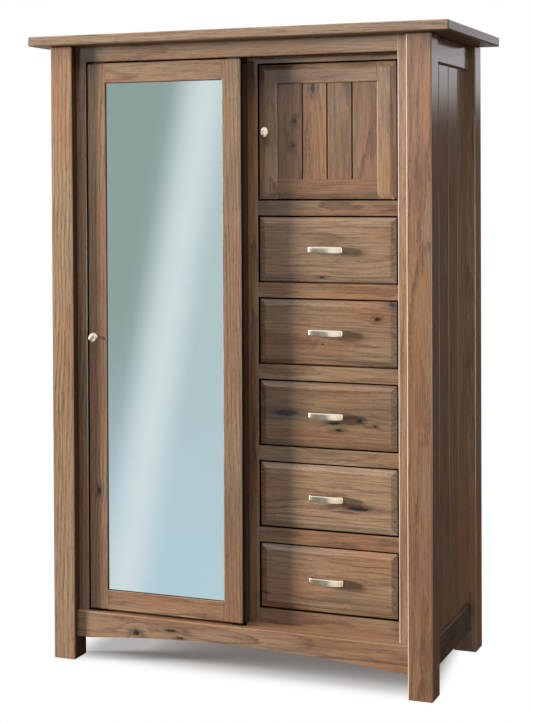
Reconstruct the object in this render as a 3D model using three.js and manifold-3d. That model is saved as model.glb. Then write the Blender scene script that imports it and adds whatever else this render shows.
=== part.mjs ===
// A chifforobe: a wardrobe behind a sliding mirror door, beside five drawers and a small cupboard.
// Millimetres, +Z up, front towards -Y, origin on the floor under the middle of the top board.

import * as THREE from "three";
import { ConvexGeometry } from "three/addons/geometries/ConvexGeometry.js";
import { mergeVertices } from "three/addons/utils/BufferGeometryUtils.js";
import Module from "manifold-3d";

const wasm = await Module();
wasm.setup();

// Overall
const height = 1880;
const topWidth = 1303;
const topDepth = 604;
const topThick = 29;
const topSideOverhang = 58;
const topFrontOverhang = 34;
const arris = 3;
const overrun = 5;
const restGap = 0.3;
const roundSides = 32;

// Legs and sides
const legSize = 73;
const sideRailSetback = 17;
const sideRailThick = 23;
const sideTopRailHeight = 75;
const sideLowRailHeight = 84;
const sideLowRailClearance = 66;
const sidePanelThick = 12;
const plankCount = 4;
const vGrooveWidth = 6;
const vGrooveDepth = 3;

// Back, bottom and partition
const backInset = 14;
const backThick = 6;
const bottomThick = 19;
const partitionThick = 19;
const partitionDoorLap = 2;
const partitionDoorGap = 6;

// Front apron
const ledgeHeight = 148;
const apronSetback = 14;
const apronThick = 20;
const apronClearance = 70;
const apronArchRise = 25;
const apronArchInset = 45.5;
const archSteps = 32;

// Outer face frame
const faceSetback = 29;
const faceThick = 20;
const faceStileWidth = 33;
const faceRailHeight = 49;

// Mirror door
const mirrorDoorWidth = 500;
const mirrorDoorThick = 20;
const mirrorDoorSetback = 2;
const mirrorDoorSideGap = 2.5;
const mirrorDoorTopGap = 3;
const mirrorDoorFloorGap = 6;
const mirrorMemberWidth = 61;
const mirrorThick = 5;
const rebateWidth = 8;
const rebateSlack = 1;
const lipThick = 6;

// Door track, hangers and floor guide
const trackHeight = 36;
const trackWall = 2.5;
const trackSlot = 12;
const trackEndGap = 2;
const trackRearGap = 4;
const hangerPlate = 3;
const hangerWidth = 40;
const hangerDrop = 70;
const hangerTrackGap = 5;
const hangerStem = 8;
const trolleyThick = 7;
const trolleyHeight = 12;
const wheelDiameter = 22;
const wheelSideGap = 1;
const axleDiameter = 6;
const guideBaseLength = 40;
const guideBaseWidth = 14;
const guideBaseThick = 3;
const guideFinLength = 24;
const guideFinThick = 3;
const guideFinReach = 9;
const guideInset = 15;
const guideGrooveWidth = 5;
const guideGrooveDepth = 12;

// Inner frame round the cupboard and the drawers
const innerSetback = 31;
const innerThick = 20;
const innerStileWidth = 31.5;
const innerDoorwayLap = 17;
const innerTopRailHeight = 65;
const innerRailHeight = 43;
const cupboardOpening = 400;
const drawerCount = 5;
const dustPanelThick = 15;
const drawerGuideWidth = 20;
const drawerGuideHeight = 20;
const drawerGuideGap = 1;

// Fronts
const revealGap = 4.5;
const bevelWidth = 18;
const bevelDepth = 4.5;
const cupboardMemberWidth = 57;
const cupboardPanelThick = 8;
const pivotInset = 8;
const pivotDiameter = 6;
const pivotReach = 9;
const pivotHoleSlack = 0.4;
const pivotHoleSpare = 3;
const pivotCollarDiameter = 12;

// Drawer boxes
const drawerSideGap = 12.5;
const drawerTopGap = 46;
const drawerRearGap = 42;
const drawerWall = 12;
const drawerBottomThick = 6;

// Oval knobs
const knobHeight = 31.75;
const knobWidth = 24;
const knobProjection = 26;
const knobHeadThick = 11;
const knobDome = 3;
const knobRim = 2.5;
const knobNeckDiameter = 9.5;
const knobFootDiameter = 14;
const knobFootThick = 1.5;
const mirrorKnobInset = 25;
const mirrorKnobTurn = THREE.MathUtils.degToRad(40);
const cupboardKnobInset = 24;

// Bow pulls
const pullWidth = 108;
const pullHeight = 20;
const pullProjection = 30;
const pullThick = 5;
const pullBow = 7;
const pullCorner = 4.5;
const pullFootTaper = 4;
const pullFootHeight = 12;
const curveSteps = 8;

// Inside the wardrobe
const shelfThick = 19;
const shelfDrop = 172;
const shelfFrontInset = 40;
const rodDiameter = 28;
const rodDrop = 50;
const rodFlangeDiameter = 48;
const rodFlangeThick = 5;

// Places across the width
const legOut = topWidth / 2 - topSideOverhang;
const legIn = legOut - legSize;
const sideOut = legOut - sideRailSetback;
const sideIn = sideOut - sideRailThick;
const doorwayHalf = legIn - faceStileWidth;
const mirrorDoorX = [
  -doorwayHalf + mirrorDoorSideGap,
  -doorwayHalf + mirrorDoorSideGap + mirrorDoorWidth,
];
const partitionX = [
  mirrorDoorX[1] - partitionDoorLap - partitionThick,
  mirrorDoorX[1] - partitionDoorLap,
];
const openingX = [partitionX[1] + innerStileWidth, doorwayHalf - innerDoorwayLap];
const openingMiddle = (openingX[0] + openingX[1]) / 2;

// Places from front to back
const frontLegY = [-topDepth / 2 + topFrontOverhang, -topDepth / 2 + topFrontOverhang + legSize];
const rearLegY = [topDepth / 2 - legSize, topDepth / 2];
const apronY = [frontLegY[0] + apronSetback, frontLegY[0] + apronSetback + apronThick];
const faceY = [frontLegY[0] + faceSetback, frontLegY[0] + faceSetback + faceThick];
const mirrorDoorY = [faceY[0] + mirrorDoorSetback, faceY[0] + mirrorDoorSetback + mirrorDoorThick];
const partitionFront = mirrorDoorY[1] + partitionDoorGap;
const innerY = [partitionFront + innerSetback, partitionFront + innerSetback + innerThick];
const backY = [topDepth / 2 - backInset - backThick, topDepth / 2 - backInset];

// Places up the height
const underTop = height - topThick;
const doorwayTop = underTop - faceRailHeight;
const mirrorDoorZ = [ledgeHeight + mirrorDoorFloorGap, doorwayTop - mirrorDoorTopGap];
const innerTopRailBottom = underTop - innerTopRailHeight;
const drawersZ = [ledgeHeight + innerRailHeight, innerTopRailBottom - cupboardOpening];
const drawerOpening = (drawersZ[1] - drawersZ[0]) / drawerCount - innerRailHeight;
const railPitch = innerRailHeight + drawerOpening;
const railBottom = (step) => ledgeHeight + step * railPitch;
const cupboardFloor = railBottom(drawerCount) + innerRailHeight;
const shelfTop = underTop - shelfDrop;

// Materials
const wood = new THREE.MeshStandardMaterial({ color: 0x8b6b50, roughness: 0.6, metalness: 0 });
const drawerWood = new THREE.MeshStandardMaterial({ color: 0xb99b78, roughness: 0.7, metalness: 0 });
const nickel = new THREE.MeshStandardMaterial({ color: 0xb8ab90, roughness: 0.35, metalness: 1 });
const silvered = new THREE.MeshStandardMaterial({ color: 0xb0c2c8, roughness: 0.04, metalness: 1 });
const aluminium = new THREE.MeshStandardMaterial({ color: 0xb4b6b8, roughness: 0.4, metalness: 1 });
const steel = new THREE.MeshStandardMaterial({ color: 0x8c8f92, roughness: 0.45, metalness: 1 });

// Ranges
const grow = ([lo, hi], by) => [lo - by, hi + by];
const shrink = ([lo, hi], by) => [lo + by, hi - by];
const around = (middle, width) => [middle - width / 2, middle + width / 2];
const middleOf = ([lo, hi]) => (lo + hi) / 2;
const evenly = ([lo, hi], parts) =>
  Array.from({ length: parts - 1 }, (_, i) => lo + ((hi - lo) * (i + 1)) / parts);

// Convex solids
function corners(xs, ys, zs) {
  return xs.flatMap((x) => ys.flatMap((y) => zs.map((z) => new THREE.Vector3(x, y, z))));
}

function block(x, y, z) {
  return new ConvexGeometry(corners(x, y, z));
}

function easedBlock(x, y, z, ease) {
  return new ConvexGeometry([
    ...corners(x, shrink(y, ease), shrink(z, ease)),
    ...corners(shrink(x, ease), y, shrink(z, ease)),
    ...corners(shrink(x, ease), shrink(y, ease), z),
  ]);
}

function bevelledSlab(x, y, z) {
  return new ConvexGeometry([
    ...corners(shrink(x, bevelWidth), [y[0]], shrink(z, bevelWidth)),
    ...corners(x, [y[0] + bevelDepth, y[1]], z),
  ]);
}

// The cutter that eases the front arrises of an opening
function flare(x, z, face) {
  return new ConvexGeometry([
    ...corners(x, [face + arris], z),
    ...corners(grow(x, 2 * arris), [face - arris], grow(z, 2 * arris)),
  ]);
}

// A prism along x, y or z, with its outline across that axis and its ends at two places
function prism(axis, outline, ends) {
  const points = outline.map(([a, b]) => (axis === "y" ? new THREE.Vector2(b, a) : new THREE.Vector2(a, b)));
  const geometry = new THREE.ExtrudeGeometry(new THREE.Shape(points), { depth: 1, bevelEnabled: false });
  const position = geometry.attributes.position;
  const place = {
    x: (a, b, end) => [end, a, b],
    y: (a, b, end) => [b, end, a],
    z: (a, b, end) => [a, b, end],
  };
  for (let i = 0; i < position.count; i++) {
    const end = position.getZ(i) === 0 ? ends[0] : ends[1];
    position.setXYZ(i, ...place[axis](position.getX(i), position.getY(i), end));
  }
  return geometry;
}

function rod(axis, centre, diameter, ends) {
  const outline = Array.from({ length: roundSides }, (_, i) => {
    const angle = (2 * Math.PI * i) / roundSides;
    return [
      centre[0] + (diameter / 2) * Math.cos(angle),
      centre[1] + (diameter / 2) * Math.sin(angle),
    ];
  });
  return prism(axis, outline, ends);
}

// Cuts and joins
function solidOf(geometry) {
  const bare = geometry.clone();
  bare.deleteAttribute("normal");
  bare.deleteAttribute("uv");
  const merged = mergeVertices(bare);
  const vertProperties = Float32Array.from(merged.attributes.position.array);
  const triVerts = Uint32Array.from(merged.index.array);
  return new wasm.Manifold(new wasm.Mesh({ numProp: 3, vertProperties, triVerts }));
}

function geometryOf(solid) {
  const mesh = solid.getMesh();
  const geometry = new THREE.BufferGeometry();
  geometry.setAttribute("position", new THREE.BufferAttribute(mesh.vertProperties, mesh.numProp));
  geometry.setIndex(new THREE.BufferAttribute(mesh.triVerts, 1));
  const flat = geometry.toNonIndexed();
  flat.computeVertexNormals();
  return flat;
}

function join(...geometries) {
  return geometryOf(geometries.map(solidOf).reduce((all, next) => all.add(next)));
}

function cut(geometry, ...cutters) {
  return geometryOf(cutters.map(solidOf).reduce((rest, next) => rest.subtract(next), solidOf(geometry)));
}

function common(geometry, other) {
  return geometryOf(solidOf(geometry).intersect(solidOf(other)));
}

function add(group, name, geometry, material) {
  const mesh = new THREE.Mesh(geometry, material);
  mesh.name = name;
  group.add(mesh);
  return mesh;
}

// The outline of a face of planks, dipping at each V groove
function plankedOutline(ends, face, back, grooves) {
  const dip = Math.sign(back - face) * vGrooveDepth;
  const points = [[ends[0], face]];
  for (const groove of grooves) {
    points.push([groove - vGrooveWidth / 2, face]);
    points.push([groove, face + dip]);
    points.push([groove + vGrooveWidth / 2, face]);
  }
  points.push([ends[1], face], [ends[1], back], [ends[0], back]);
  return points;
}

// The room that the legs take out of a board
function legRoom(side, y) {
  const x = [side * legIn, side * (legOut + overrun)].sort((a, b) => a - b);
  return block(x, y, [-overrun, height]);
}

// Legs, top and sides
function addCarcase(group) {
  add(
    group,
    "top_board",
    easedBlock([-topWidth / 2, topWidth / 2], [-topDepth / 2, topDepth / 2], [underTop, height], arris),
    wood,
  );
  for (const [side, word] of [[-1, "left"], [1, "right"]]) {
    const legX = [side * legIn, side * legOut].sort((a, b) => a - b);
    add(group, "leg_front_" + word, easedBlock(legX, frontLegY, [0, underTop], arris), wood);
    add(group, "leg_rear_" + word, easedBlock(legX, rearLegY, [0, underTop], arris), wood);
    const betweenLegs = [frontLegY[1], rearLegY[0]];
    const lowRail = [sideLowRailClearance, sideLowRailClearance + sideLowRailHeight];
    const topRail = [underTop - sideTopRailHeight, underTop];
    add(group, "side_top_rail_" + word, sideRail(side, topRail, betweenLegs), wood);
    add(group, "side_bottom_rail_" + word, sideRail(side, lowRail, betweenLegs), wood);
    const outline = plankedOutline(
      betweenLegs,
      side * (sideIn + sidePanelThick),
      side * sideIn,
      evenly(betweenLegs, plankCount),
    ).map(([a, b]) => [b, a]);
    add(group, "side_panel_" + word, prism("z", outline, [lowRail[1], topRail[0]]), wood);
  }
}

function sideRail(side, z, y) {
  const outline = [
    [side * sideIn, z[0]],
    [side * (sideOut - arris), z[0]],
    [side * sideOut, z[0] + arris],
    [side * sideOut, z[1] - arris],
    [side * (sideOut - arris), z[1]],
    [side * sideIn, z[1]],
  ];
  return prism("y", outline, y);
}

// Bottom, back, partition and the arched apron
function addBoards(group) {
  const bottomZ = [ledgeHeight - bottomThick, ledgeHeight];
  const bottom = cut(
    block([-sideIn, sideIn], [apronY[1], backY[0]], bottomZ),
    legRoom(-1, [frontLegY[0] - overrun, frontLegY[1]]),
    legRoom(1, [frontLegY[0] - overrun, frontLegY[1]]),
    legRoom(-1, [rearLegY[0], rearLegY[1] + overrun]),
    legRoom(1, [rearLegY[0], rearLegY[1] + overrun]),
  );
  add(group, "bottom_board", bottom, wood);
  add(group, "back_panel", block([-legIn, legIn], backY, [bottomZ[0], underTop]), drawerWood);
  const partitionOutline = [
    [partitionFront, ledgeHeight],
    [backY[0], ledgeHeight],
    [backY[0], underTop],
    [innerY[0], underTop],
    [innerY[0], innerTopRailBottom],
    [partitionFront, innerTopRailBottom],
  ];
  add(group, "partition", prism("x", partitionOutline, partitionX), wood);
  add(group, "front_apron", apron(), wood);
}

function apron() {
  const halfArch = legIn - apronArchInset;
  const radius = (halfArch ** 2 + apronArchRise ** 2) / (2 * apronArchRise);
  const centreZ = apronClearance + apronArchRise - radius;
  const outline = [
    [-legIn, ledgeHeight],
    [-legIn, apronClearance],
  ];
  for (let i = 0; i <= archSteps; i++) {
    const x = -halfArch + (2 * halfArch * i) / archSteps;
    outline.push([x, centreZ + Math.sqrt(radius ** 2 - x ** 2)]);
  }
  outline.push([legIn, apronClearance], [legIn, ledgeHeight]);
  const arrisOutline = [
    [apronY[0] - arris, ledgeHeight - 2 * arris],
    [apronY[0] + 2 * arris, ledgeHeight + arris],
    [apronY[0] - arris, ledgeHeight + arris],
  ];
  return cut(prism("y", outline, apronY), prism("x", arrisOutline, grow([-legIn, legIn], overrun)));
}

// The outer face frame, which the mirror door slides in
function addFaceFrame(group) {
  const easing = flare([-doorwayHalf, doorwayHalf], [ledgeHeight, doorwayTop], faceY[0]);
  const stileZ = [ledgeHeight, underTop];
  add(group, "face_stile_left", cut(block([-legIn, -doorwayHalf], faceY, stileZ), easing), wood);
  add(group, "face_stile_right", cut(block([doorwayHalf, legIn], faceY, stileZ), easing), wood);
  const rail = block([-doorwayHalf, doorwayHalf], faceY, [doorwayTop, underTop]);
  add(group, "face_top_rail", cut(rail, easing), wood);
}

// The inner frame, with a dust panel and drawer guides behind each rail
function addInnerFrame(group) {
  const stileZ = [ledgeHeight, underTop];
  add(group, "inner_stile_left", block([partitionX[1], openingX[0]], innerY, stileZ), wood);
  add(group, "inner_stile_right", block([openingX[1], sideIn], innerY, stileZ), wood);
  const topRail = block(openingX, innerY, [innerTopRailBottom, underTop]);
  add(group, "inner_top_rail", cut(topRail, pivotHole(innerTopRailBottom, 1)), wood);
  const names = ["rail_bottom", "rail_4_5", "rail_3_4", "rail_2_3", "rail_1_2"];
  names.forEach((name, step) => add(group, name, join(shelfRail(railBottom(step)), ...guides(step)), wood));
  const floor = cut(shelfRail(railBottom(drawerCount)), pivotHole(cupboardFloor, -1));
  add(group, "cupboard_floor", floor, wood);
}

function shelfRail(bottom) {
  const top = bottom + innerRailHeight;
  const outline = [
    [innerY[0], bottom],
    [innerY[1], bottom],
    [innerY[1], top - dustPanelThick],
    [backY[0], top - dustPanelThick],
    [backY[0], top],
    [innerY[0], top],
  ];
  const wings = block([partitionX[1], sideIn], [innerY[1], backY[0]], [top - dustPanelThick, top]);
  return cut(join(prism("x", outline, openingX), wings), legRoom(1, [rearLegY[0], rearLegY[1] + overrun]));
}

function guides(step) {
  const top = railBottom(step) + innerRailHeight;
  const z = [top - dustPanelThick, top + drawerGuideHeight];
  const y = [innerY[1], backY[0]];
  const inner = drawerSideGap - drawerGuideGap;
  return [
    block([openingX[0] + inner - drawerGuideWidth, openingX[0] + inner], y, z),
    block([openingX[1] - inner, openingX[1] - inner + drawerGuideWidth], y, z),
  ];
}

// Inside the wardrobe
function addWardrobeFittings(group) {
  const x = [-sideIn, partitionX[0]];
  const shelf = block(x, [innerY[0] + shelfFrontInset, backY[0]], [shelfTop - shelfThick, shelfTop]);
  add(group, "hat_shelf", cut(shelf, legRoom(-1, [rearLegY[0], rearLegY[1] + overrun])), wood);
  const centre = [middleOf([innerY[1], rearLegY[0]]), shelfTop - shelfThick - rodDrop];
  const rail = join(
    rod("x", centre, rodDiameter, x),
    rod("x", centre, rodFlangeDiameter, [x[0], x[0] + rodFlangeThick]),
    rod("x", centre, rodFlangeDiameter, [x[1] - rodFlangeThick, x[1]]),
  );
  add(group, "hanging_rod", rail, nickel);
}

// Door track and floor guide
const trackY = [mirrorDoorY[1] + hangerPlate, innerY[0] - trackRearGap];
const trackZ = [underTop - trackHeight, underTop];
const trackMiddle = middleOf(trackY);
const guideMiddle = middleOf(mirrorDoorY);
const guideX = mirrorDoorX[1] - guideInset;

function addDoorRunning(group) {
  const slot = around(trackMiddle, trackSlot);
  const insideY = shrink(trackY, trackWall);
  const insideZ = shrink(trackZ, trackWall);
  const outline = [
    [trackY[0], trackZ[1]],
    [trackY[1], trackZ[1]],
    [trackY[1], trackZ[0]],
    [slot[1], trackZ[0]],
    [slot[1], insideZ[0]],
    [insideY[1], insideZ[0]],
    [insideY[1], insideZ[1]],
    [insideY[0], insideZ[1]],
    [insideY[0], insideZ[0]],
    [slot[0], insideZ[0]],
    [slot[0], trackZ[0]],
    [trackY[0], trackZ[0]],
  ];
  add(group, "door_track", prism("x", outline, shrink([-legIn, legIn], trackEndGap)), aluminium);
  const finTop = mirrorDoorZ[0] + guideFinReach;
  const guide = join(
    block(
      around(guideX, guideBaseLength),
      around(guideMiddle, guideBaseWidth),
      [ledgeHeight, ledgeHeight + guideBaseThick],
    ),
    block(around(guideX, guideFinLength), around(guideMiddle, guideFinThick), [ledgeHeight, finTop]),
  );
  add(group, "door_guide", guide, steel);
}

// The members of a door frame: stiles run through and rails fit between them
function frameMembers(slab, x, y, z, memberWidth) {
  const openX = shrink(x, memberWidth);
  const openZ = shrink(z, memberWidth);
  const deep = grow(y, overrun);
  const tall = grow(z, overrun);
  const frame = cut(
    slab,
    block(openX, deep, openZ),
    flare(openX, openZ, y[0]),
    block(grow(openX, rebateWidth), [y[0] + lipThick, y[1] + overrun], grow(openZ, rebateWidth)),
  );
  return {
    left: common(frame, block([x[0] - overrun, openX[0]], deep, tall)),
    right: common(frame, block([openX[1], x[1] + overrun], deep, tall)),
    bottom: common(frame, block(openX, deep, [z[0] - overrun, openZ[0]])),
    top: common(frame, block(openX, deep, [openZ[1], z[1] + overrun])),
  };
}

// A knob along +Y: a domed oval head on a waisted round stem
function knob(turn) {
  const rimTop = knobProjection - knobDome;
  const rimLow = rimTop - knobRim;
  const headBack = knobProjection - knobHeadThick;
  const head = new THREE.Path();
  head.moveTo(0, headBack);
  head.quadraticCurveTo(knobHeight / 2, headBack, knobHeight / 2, rimLow);
  head.lineTo(knobHeight / 2, rimTop);
  head.quadraticCurveTo(knobHeight / 4, knobProjection, 0, knobProjection);
  const stem = new THREE.Path();
  stem.moveTo(0, 0);
  stem.lineTo(knobFootDiameter / 2, 0);
  stem.lineTo(knobFootDiameter / 2, knobFootThick);
  stem.quadraticCurveTo(knobNeckDiameter / 2, knobFootThick, knobNeckDiameter / 2, headBack);
  stem.lineTo(knobNeckDiameter / 2, rimLow);
  stem.lineTo(0, rimLow);
  const oval = turned(head).scale(knobWidth / knobHeight, 1, 1);
  return join(turned(stem), oval.rotateY(turn));
}

function turned(profile) {
  return new THREE.LatheGeometry(profile.getPoints(curveSteps), roundSides);
}

function addKnob(group, name, place, turn) {
  const mesh = add(group, name, knob(turn), nickel);
  mesh.position.set(...place);
  mesh.rotation.z = Math.PI;
}

// The sliding mirror door
function addMirrorDoor(group) {
  const [x, y, z] = [mirrorDoorX, mirrorDoorY, mirrorDoorZ];
  const groove = block(
    grow(x, overrun),
    around(guideMiddle, guideGrooveWidth),
    [z[0] - overrun, z[0] + guideGrooveDepth],
  );
  const members = frameMembers(cut(easedBlock(x, y, z, arris), groove), x, y, z, mirrorMemberWidth);
  add(group, "mirror_stile_left", members.left, wood);
  add(group, "mirror_stile_right", members.right, wood);
  add(group, "mirror_rail_bottom", members.bottom, wood);
  add(group, "mirror_rail_top", members.top, wood);
  const inset = mirrorMemberWidth - rebateWidth + rebateSlack;
  const glassY = [y[0] + lipThick, y[0] + lipThick + mirrorThick];
  add(group, "mirror_glass", block(shrink(x, inset), glassY, shrink(z, inset)), silvered);
  addKnob(group, "mirror_knob", [x[0] + mirrorKnobInset, y[0], middleOf(z)], -mirrorKnobTurn);
  add(group, "hanger_left", hanger(x[0] + mirrorMemberWidth / 2), steel);
  add(group, "hanger_right", hanger(x[1] - mirrorMemberWidth / 2), steel);
}

function hanger(x) {
  const across = around(x, hangerWidth);
  const armTop = trackZ[0] - hangerTrackGap;
  const wheelZ = trackZ[0] + trackWall + restGap + wheelDiameter / 2;
  const wheelY = shrink(trackY, trackWall + wheelSideGap);
  const trolleyY = around(trackMiddle, trolleyThick);
  return join(
    block(across, [mirrorDoorY[1], trackY[0]], [armTop - hangerDrop, armTop]),
    block(across, [mirrorDoorY[1], trackMiddle + trackSlot / 2], [armTop - hangerPlate, armTop]),
    rod("z", [x, trackMiddle], hangerStem, [armTop - hangerPlate, wheelZ]),
    block(across, trolleyY, around(wheelZ, trolleyHeight)),
    rod("y", [x, wheelZ], axleDiameter, wheelY),
    rod("y", [x, wheelZ], wheelDiameter, [wheelY[0], trolleyY[0] - wheelSideGap]),
    rod("y", [x, wheelZ], wheelDiameter, [trolleyY[1] + wheelSideGap, wheelY[1]]),
  );
}

// The cupboard door, hung on pins at its right edge
const cupboardX = shrink(openingX, revealGap);
const cupboardZ = shrink([cupboardFloor, innerTopRailBottom], revealGap);
const pivot = [cupboardX[1] - pivotInset, innerY[0] + pivotInset];

function pivotHole(face, way) {
  const z = [face - way * overrun, face + way * (pivotReach + pivotHoleSpare)].sort((a, b) => a - b);
  return rod("z", pivot, pivotDiameter + 2 * pivotHoleSlack, z);
}

function addCupboardDoor(group) {
  const [x, y, z] = [cupboardX, innerY, cupboardZ];
  const members = frameMembers(bevelledSlab(x, y, z), x, y, z, cupboardMemberWidth);
  const hingeStile = join(
    members.right,
    rod("z", pivot, pivotDiameter, grow(z, pivotReach)),
    rod("z", pivot, pivotCollarDiameter, [z[0] - revealGap + restGap, z[0] + overrun]),
  );
  add(group, "cupboard_stile_left", members.left, wood);
  add(group, "cupboard_stile_right", hingeStile, wood);
  add(group, "cupboard_rail_bottom", members.bottom, wood);
  add(group, "cupboard_rail_top", members.top, wood);
  const inset = cupboardMemberWidth - rebateWidth + rebateSlack;
  const outline = plankedOutline(
    shrink(x, inset),
    y[0] + lipThick,
    y[0] + lipThick + cupboardPanelThick,
    evenly(shrink(x, cupboardMemberWidth), plankCount),
  );
  add(group, "cupboard_panel", prism("z", outline, shrink(z, inset)), wood);
  addKnob(group, "cupboard_knob", [x[0] + cupboardKnobInset, y[0], middleOf(z)], 0);
}

// One edge of a pull's outline, from its right foot over its front to its left foot
function bow(half, reach) {
  const cornerX = half - pullCorner;
  const cornerY = reach - pullBow;
  const lean = (2 * pullBow * pullCorner) / cornerX;
  const edge = new THREE.Path();
  edge.moveTo(half - pullFootTaper, 0);
  edge.lineTo(half, pullFootHeight);
  edge.lineTo(half, cornerY - pullCorner);
  edge.quadraticCurveTo(half, cornerY - lean, cornerX, cornerY);
  edge.quadraticCurveTo(0, reach + pullBow, -cornerX, cornerY);
  edge.quadraticCurveTo(-half, cornerY - lean, -half, cornerY - pullCorner);
  edge.lineTo(-half, pullFootHeight);
  edge.lineTo(pullFootTaper - half, 0);
  return edge.getPoints(curveSteps);
}

function pull(z) {
  const outer = bow(pullWidth / 2, pullProjection);
  const inner = bow(pullWidth / 2 - pullThick, pullProjection - pullThick);
  const outline = [...outer, ...inner.reverse()].map(({ x, y }) => [openingMiddle + x, innerY[0] - y]);
  return prism("z", outline, around(z, pullHeight));
}

// Drawers: each is built from the floor of its opening and lifted into place
function addDrawer(number) {
  const group = new THREE.Group();
  const frontZ = shrink([0, drawerOpening], revealGap);
  add(group, "drawer_front_" + number, bevelledSlab(shrink(openingX, revealGap), innerY, frontZ), wood);
  const boxX = shrink(openingX, drawerSideGap);
  const boxY = [innerY[1], backY[0] - drawerRearGap];
  const boxZ = [restGap, drawerOpening - drawerTopGap];
  const hollow = block(
    shrink(boxX, drawerWall),
    shrink(boxY, drawerWall),
    [boxZ[0] + drawerBottomThick, boxZ[1] + overrun],
  );
  add(group, "drawer_box_" + number, cut(block(boxX, boxY, boxZ), hollow), drawerWood);
  add(group, "drawer_pull_" + number, pull(drawerOpening / 2), nickel);
  group.position.z = railBottom(drawerCount - number) + innerRailHeight;
  return group;
}

const chifforobe = new THREE.Group();
const carcase = new THREE.Group();
addCarcase(carcase);
addBoards(carcase);
addFaceFrame(carcase);
addInnerFrame(carcase);
addWardrobeFittings(carcase);
addDoorRunning(carcase);
const mirrorDoor = new THREE.Group();
addMirrorDoor(mirrorDoor);
const cupboardDoor = new THREE.Group();
addCupboardDoor(cupboardDoor);
chifforobe.add(carcase, mirrorDoor, cupboardDoor);
for (let number = 1; number <= drawerCount; number++) {
  chifforobe.add(addDrawer(number));
}

export default chifforobe;
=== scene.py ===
import math

import bmesh
import bpy
from mathutils import Matrix, Vector


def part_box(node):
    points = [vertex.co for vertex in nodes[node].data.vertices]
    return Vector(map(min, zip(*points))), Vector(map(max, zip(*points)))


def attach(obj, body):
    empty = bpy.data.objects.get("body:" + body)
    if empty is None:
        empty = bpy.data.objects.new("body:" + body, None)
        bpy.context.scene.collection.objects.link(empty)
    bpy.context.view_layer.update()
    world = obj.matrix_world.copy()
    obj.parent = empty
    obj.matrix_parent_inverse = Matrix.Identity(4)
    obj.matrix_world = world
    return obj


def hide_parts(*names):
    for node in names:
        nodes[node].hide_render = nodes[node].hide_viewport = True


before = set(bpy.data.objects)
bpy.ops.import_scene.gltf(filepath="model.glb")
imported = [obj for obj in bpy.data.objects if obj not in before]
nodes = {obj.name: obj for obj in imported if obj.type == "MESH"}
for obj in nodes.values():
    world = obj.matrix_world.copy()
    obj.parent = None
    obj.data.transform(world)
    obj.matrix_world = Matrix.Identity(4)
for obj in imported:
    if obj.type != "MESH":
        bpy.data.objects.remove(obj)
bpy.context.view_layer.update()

X, Y, Z = 0, 1, 2
DRAWERS = range(1, 6)


def srgb(text):
    """The linear colour of a hex colour."""
    parts = [int(text[i:i + 2], 16) / 255 for i in (0, 2, 4)]
    return tuple(p / 12.92 if p <= 0.04045 else ((p + 0.055) / 1.055) ** 2.4 for p in parts) + (1.0,)


# Node helpers
MIX_FACTOR, MIX_FIRST, MIX_SECOND, MIX_RESULT = 0, 6, 7, 2


class Wire:
    """A value in a node tree; a sum on it adds its Math node."""

    def __init__(self, paint, socket):
        self.paint = paint
        self.socket = socket

    def maths(self, operation, *values):
        return self.paint.node("ShaderNodeMath", {"operation": operation}, values or [self])

    def __add__(self, other):
        return self.maths("ADD", self, other)

    def __radd__(self, other):
        return self.maths("ADD", other, self)

    def __sub__(self, other):
        return self.maths("SUBTRACT", self, other)

    def __rsub__(self, other):
        return self.maths("SUBTRACT", other, self)

    def __mul__(self, other):
        return self.maths("MULTIPLY", self, other)

    def __rmul__(self, other):
        return self.maths("MULTIPLY", other, self)

    def __truediv__(self, other):
        return self.maths("DIVIDE", self, other)

    def __rtruediv__(self, other):
        return self.maths("DIVIDE", other, self)

    def __pow__(self, other):
        return self.maths("POWER", self, other)

    def __neg__(self):
        return self.maths("MULTIPLY", self, -1.0)


class Tree:
    """A node tree being written."""

    def __init__(self, tree):
        self.tree = tree
        self.tree.nodes.clear()

    def node(self, kind, settings=None, values=(), output=0):
        made = self.tree.nodes.new(kind)
        for key, value in (settings or {}).items():
            setattr(made, key, value)
        pairs = values.items() if isinstance(values, dict) else enumerate(values)
        for key, value in pairs:
            if isinstance(value, Wire):
                self.tree.links.new(value.socket, made.inputs[key])
            else:
                made.inputs[key].default_value = value
        return Wire(self, made.outputs[output])

    def vector(self, x, y, z):
        return self.node("ShaderNodeCombineXYZ", {}, [x, y, z])

    def split(self, point, axes=(X, Y, Z)):
        return [self.node("ShaderNodeSeparateXYZ", {}, [point], axis) for axis in axes]


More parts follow.
